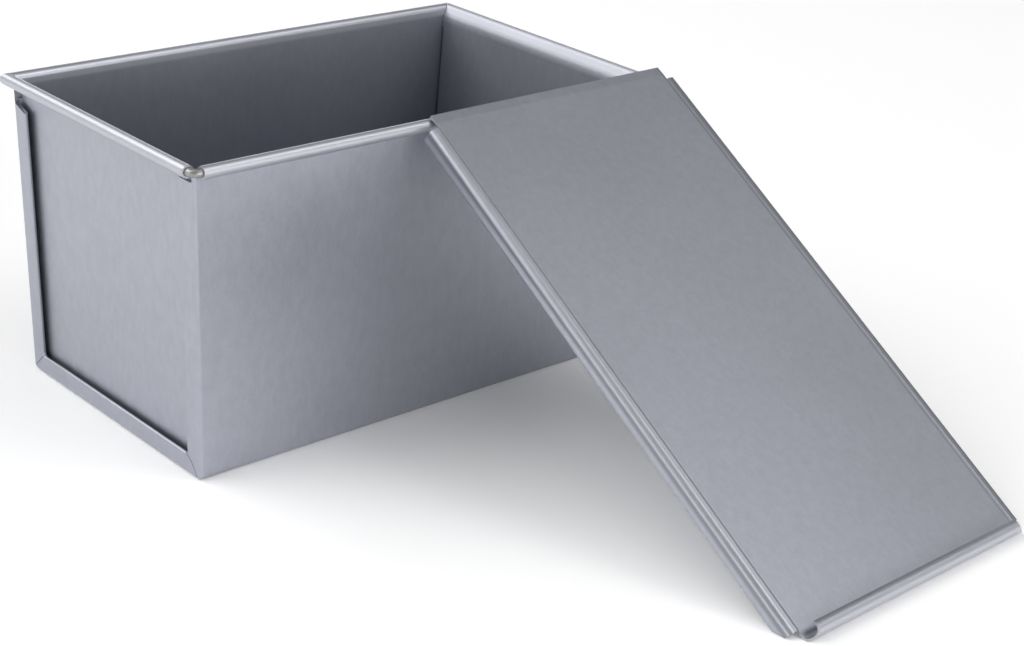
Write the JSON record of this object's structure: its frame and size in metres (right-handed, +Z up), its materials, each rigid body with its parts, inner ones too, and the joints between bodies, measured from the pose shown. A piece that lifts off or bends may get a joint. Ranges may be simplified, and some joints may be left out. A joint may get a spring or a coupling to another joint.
{
  "type": "pullman loaf pan",
  "caption": "Straight-sided loaf pan folded from sheet, with hemmed end panels, a wired rolled rim and a flat channelled lid leaning on the front rim.",
  "frame": {"origin": "centre of the pan's underside, on the table", "axes": "+X along the pan, +Y from the front wall that the lid leans on to the back wall, +Z up"},
  "size_m": [0.2236, 0.3139, 0.1196],
  "materials": {
    "sheet": "satin aluminised steel sheet",
    "wire": "drawn steel wire"
  },
  "bodies": {
    "pan": {"trough_sheet": "sheet", "left_end_panel": "sheet", "right_end_panel": "sheet", "rim_wire": "wire"},
    "lid": {"lid": "sheet"}
  },
  "joints": [
    {"name": "lid_lift_off", "type": "slide", "parent": "pan", "child": "lid", "axis": [0.0067, -0.5307, 0.8475], "range_m": [0, 0.15]}
  ]
}
